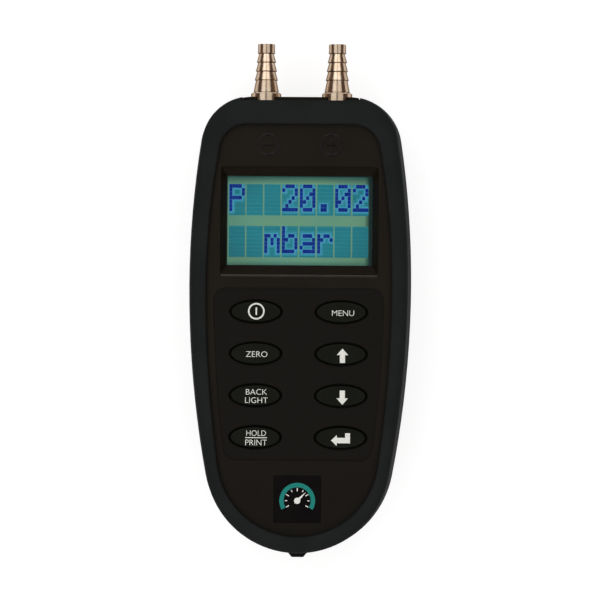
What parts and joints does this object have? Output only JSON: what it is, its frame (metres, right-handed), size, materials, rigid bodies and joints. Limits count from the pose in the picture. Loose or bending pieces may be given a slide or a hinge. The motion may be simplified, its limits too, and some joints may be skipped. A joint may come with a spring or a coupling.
{
  "type": "digital manometer",
  "caption": "Hand-held digital manometer in a rubber boot, with a lit character display, oval keys and hose nipples at the top.",
  "frame": {"origin": "middle of the overall length and width, on the surface that the boot's back rim lies on", "axes": "+X to the right over the keys, +Y from the foot to the hose nipples, +Z out of the front panel"},
  "size_m": [0.0874, 0.2008, 0.045],
  "materials": {
    "boot_rubber": "matte moulded",
    "case_plastic": "fine moulded grain",
    "key_plastic": "satin with white print",
    "window_plastic": "clear",
    "dark_window_plastic": "polished dark",
    "nipple_metal": "nickel plated, turned",
    "seal_rubber": "matte",
    "hardware_steel": "zinc plated",
    "insert_brass": "knurled",
    "contact_nickel": "nickel plated",
    "cell_jacket": "printed jacket",
    "display_glass": "lit, teal with dark blue characters",
    "bezel_steel": "black",
    "diffuser_plastic": "milky",
    "board_laminate": "green solder mask",
    "part_plastic": "black",
    "tube_silicone": "milky",
    "badge_plate": "printed"
  },
  "bodies": {
    "instrument": {"rubber_boot": "boot_rubber", "front_case": "case_plastic", "rear_case": "case_plastic", "battery_cover": "case_plastic", "display_window": "window_plastic", "infrared_window": "dark_window_plastic", "negative_nipple": "nipple_metal", "positive_nipple": "nipple_metal", "negative_port_seal": "seal_rubber", "positive_port_seal": "seal_rubber", "keypad_mat": "seal_rubber", "negative_port_nut": "hardware_steel", "positive_port_nut": "hardware_steel", "lcd_board_screws": "hardware_steel", "main_board_screws": "hardware_steel", "case_screws": "hardware_steel", "sensor_board_screws": "hardware_steel", "case_inserts": "insert_brass", "supply_pins": "insert_brass", "battery_contacts": "contact_nickel", "battery_cell_1": "cell_jacket", "battery_cell_2": "cell_jacket", "battery_cell_3": "cell_jacket", "battery_cell_4": "cell_jacket", "lcd_glass": "display_glass", "lcd_frame": "bezel_steel", "lcd_backlight": "diffuser_plastic", "lcd_board": "board_laminate", "main_board": "board_laminate", "sensor_board": "board_laminate", "board_header": "part_plastic", "sensor_header": "part_plastic", "microcontroller": "part_plastic", "buzzer": "part_plastic", "pressure_sensor": "part_plastic", "infrared_led": "part_plastic", "negative_tube": "tube_silicone", "positive_tube": "tube_silicone", "badge_plate": "badge_plate"},
    "power_key": {"power_key": "key_plastic"},
    "menu_key": {"menu_key": "key_plastic"},
    "zero_key": {"zero_key": "key_plastic"},
    "up_key": {"up_key": "key_plastic"},
    "backlight_key": {"backlight_key": "key_plastic"},
    "down_key": {"down_key": "key_plastic"},
    "hold_print_key": {"hold_print_key": "key_plastic"},
    "enter_key": {"enter_key": "key_plastic"}
  },
  "joints": [
    {"name": "power_key_press", "type": "slide", "parent": "instrument", "child": "power_key", "axis": [0, 0, -1], "range_m": [0, 0.001], "stiffness_N_per_m": 1200, "springref_m": -0.0003},
    {"name": "menu_key_press", "type": "slide", "parent": "instrument", "child": "menu_key", "axis": [0, 0, -1], "range_m": [0, 0.001], "stiffness_N_per_m": 1200, "springref_m": -0.0003},
    {"name": "zero_key_press", "type": "slide", "parent": "instrument", "child": "zero_key", "axis": [0, 0, -1], "range_m": [0, 0.001], "stiffness_N_per_m": 1200, "springref_m": -0.0003},
    {"name": "up_key_press", "type": "slide", "parent": "instrument", "child": "up_key", "axis": [0, 0, -1], "range_m": [0, 0.001], "stiffness_N_per_m": 1200, "springref_m": -0.0003},
    {"name": "backlight_key_press", "type": "slide", "parent": "instrument", "child": "backlight_key", "axis": [0, 0, -1], "range_m": [0, 0.001], "stiffness_N_per_m": 1200, "springref_m": -0.0003},
    {"name": "down_key_press", "type": "slide", "parent": "instrument", "child": "down_key", "axis": [0, 0, -1], "range_m": [0, 0.001], "stiffness_N_per_m": 1200, "springref_m": -0.0003},
    {"name": "hold_print_key_press", "type": "slide", "parent": "instrument", "child": "hold_print_key", "axis": [0, 0, -1], "range_m": [0, 0.001], "stiffness_N_per_m": 1200, "springref_m": -0.0003},
    {"name": "enter_key_press", "type": "slide", "parent": "instrument", "child": "enter_key", "axis": [0, 0, -1], "range_m": [0, 0.001], "stiffness_N_per_m": 1200, "springref_m": -0.0003}
  ]
}
